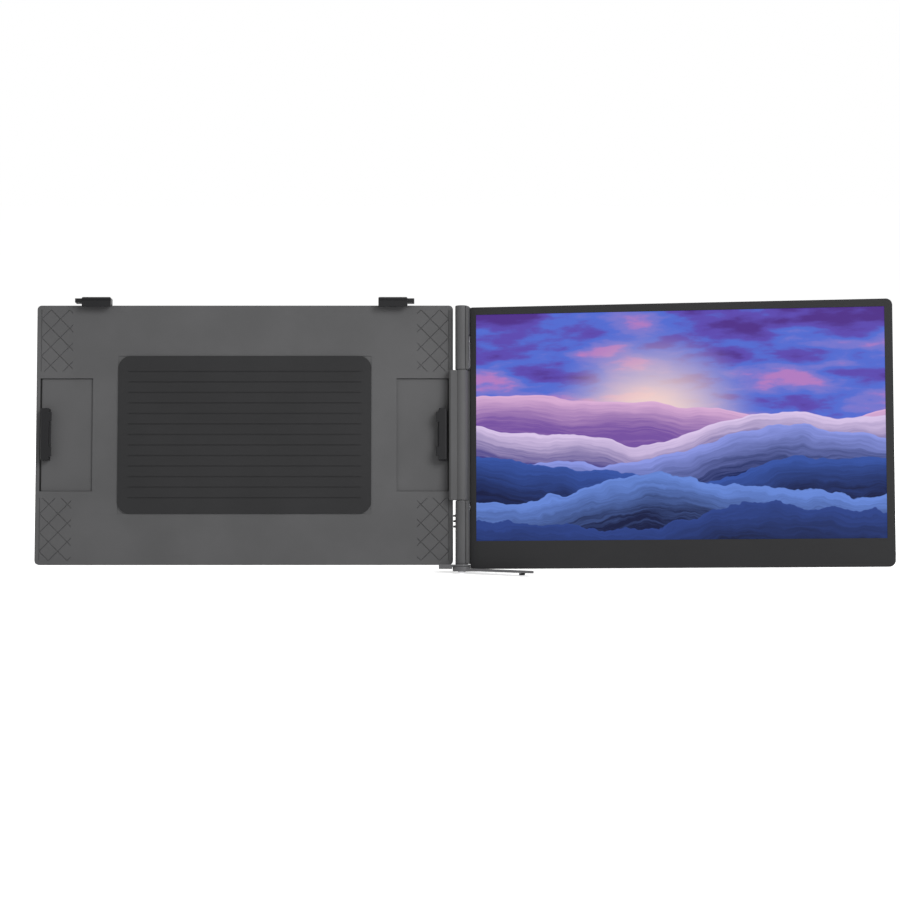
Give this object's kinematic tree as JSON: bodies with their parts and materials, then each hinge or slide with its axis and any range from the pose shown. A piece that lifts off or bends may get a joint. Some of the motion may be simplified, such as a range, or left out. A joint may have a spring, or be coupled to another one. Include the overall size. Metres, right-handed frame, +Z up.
{
  "type": "laptop screen extender",
  "caption": "Second display that folds out on a side hinge from a bracket clamped to the back of an open laptop lid, with sliding lid clips, control buttons and a swinging stand leg.",
  "frame": {"origin": "centre of the front face of the lid rest pad", "axes": "+Z up with the lid leaning back by 10.85 degrees, +X to the viewer's right towards the screen, +Y away from the viewer"},
  "size_m": [0.8026, 0.1179, 0.2585],
  "materials": {
    "bracket_plastic": "fine matt moulded grain",
    "inner_plastic": "plain moulded",
    "clip_plastic": "fine matt grain",
    "silicone": "soft matt silicone",
    "steel": "turned and ground",
    "cast_alloy": "as cast, tumbled",
    "black_steel": "black electro coat",
    "bezel_plastic": "satin, very fine grain",
    "shell_paint": "fine satin coat",
    "screen_picture": "lit display under anti glare film",
    "light_guide": "clear sheet over white film",
    "circuit_board": "solder mask",
    "cable_film": "thin amber film",
    "button_plastic": "satin"
  },
  "bodies": {
    "bracket": {"bracket_screws": "black_steel", "front_panel": "bracket_plastic", "hinge_block": "cast_alloy", "hinge_block_screws": "black_steel", "knuckle_cover": "bracket_plastic", "left_guide": "inner_plastic", "left_top_guide": "inner_plastic", "leg_pivot_pin": "steel", "lid_pad": "silicone", "lower_shaft": "steel", "rear_cover": "bracket_plastic", "right_guide": "inner_plastic", "right_top_guide": "inner_plastic", "stand_bracket": "black_steel", "upper_lock_nut": "steel", "upper_shaft": "steel", "upper_spring_washers": "steel"},
    "left_clamp": {"left_slider": "bracket_plastic", "left_clip": "clip_plastic", "left_grip": "silicone"},
    "right_clamp": {"right_slider": "bracket_plastic", "right_clip": "clip_plastic", "right_grip": "silicone"},
    "left_top_clip": {"left_stem": "clip_plastic", "left_hook": "clip_plastic", "left_top_pad": "silicone"},
    "right_top_clip": {"right_stem": "clip_plastic", "right_hook": "clip_plastic", "right_top_pad": "silicone"},
    "screen": {"upper_barrel": "bracket_plastic", "upper_leaf": "steel", "upper_end_cap": "bracket_plastic", "lower_barrel": "bracket_plastic", "lower_leaf": "steel", "lower_end_cap": "bracket_plastic", "button_board": "circuit_board", "rear_shell": "shell_paint", "screen_bezel": "bezel_plastic", "lcd_panel": "screen_picture", "backlight_unit": "light_guide", "panel_frame": "steel", "driver_board": "circuit_board", "upper_usb_c_port": "steel", "lower_usb_c_port": "steel", "mini_hdmi_port": "steel", "display_cable": "cable_film", "left_speaker": "inner_plastic", "right_speaker": "inner_plastic"},
    "leg": {"stand_leg": "black_steel", "leg_foot": "silicone"},
    "power_button": {"power_button": "button_plastic"},
    "up_button": {"up_button": "button_plastic"},
    "down_button": {"down_button": "button_plastic"}
  },
  "joints": [
    {"name": "screen_fold", "type": "hinge", "parent": "bracket", "child": "screen", "pos_m": [0.2056, -0.0054, 0.00103], "axis": [0, 0.1882, 0.9821], "range_deg": [-171, 45]},
    {"name": "left_clamp_slide", "type": "slide", "parent": "bracket", "child": "left_clamp", "axis": [1, 0, 0], "range_m": [0, 0.038]},
    {"name": "right_clamp_slide", "type": "slide", "parent": "bracket", "child": "right_clamp", "axis": [-1, 0, 0], "range_m": [0, 0.038]},
    {"name": "left_top_clip_slide", "type": "slide", "parent": "bracket", "child": "left_top_clip", "axis": [0, 0.1882, 0.9821], "range_m": [0, 0.03]},
    {"name": "right_top_clip_slide", "type": "slide", "parent": "bracket", "child": "right_top_clip", "axis": [0, 0.1882, 0.9821], "range_m": [0, 0.03]},
    {"name": "leg_swing", "type": "hinge", "parent": "bracket", "child": "leg", "pos_m": [0.2056, -0.0054, 0.00103], "axis": [0, 0.1882, 0.9821], "range_deg": [-160, 30]},
    {"name": "power_button_press", "type": "slide", "parent": "screen", "child": "power_button", "axis": [0.9877, -0.1536, 0.0294], "range_m": [0, 0.0005], "stiffness_N_per_m": 300, "springref_m": -0.0005},
    {"name": "up_button_press", "type": "slide", "parent": "screen", "child": "up_button", "axis": [0.9877, -0.1536, 0.0294], "range_m": [0, 0.0005], "stiffness_N_per_m": 300, "springref_m": -0.0005},
    {"name": "down_button_press", "type": "slide", "parent": "screen", "child": "down_button", "axis": [0.9877, -0.1536, 0.0294], "range_m": [0, 0.0005], "stiffness_N_per_m": 300, "springref_m": -0.0005}
  ]
}
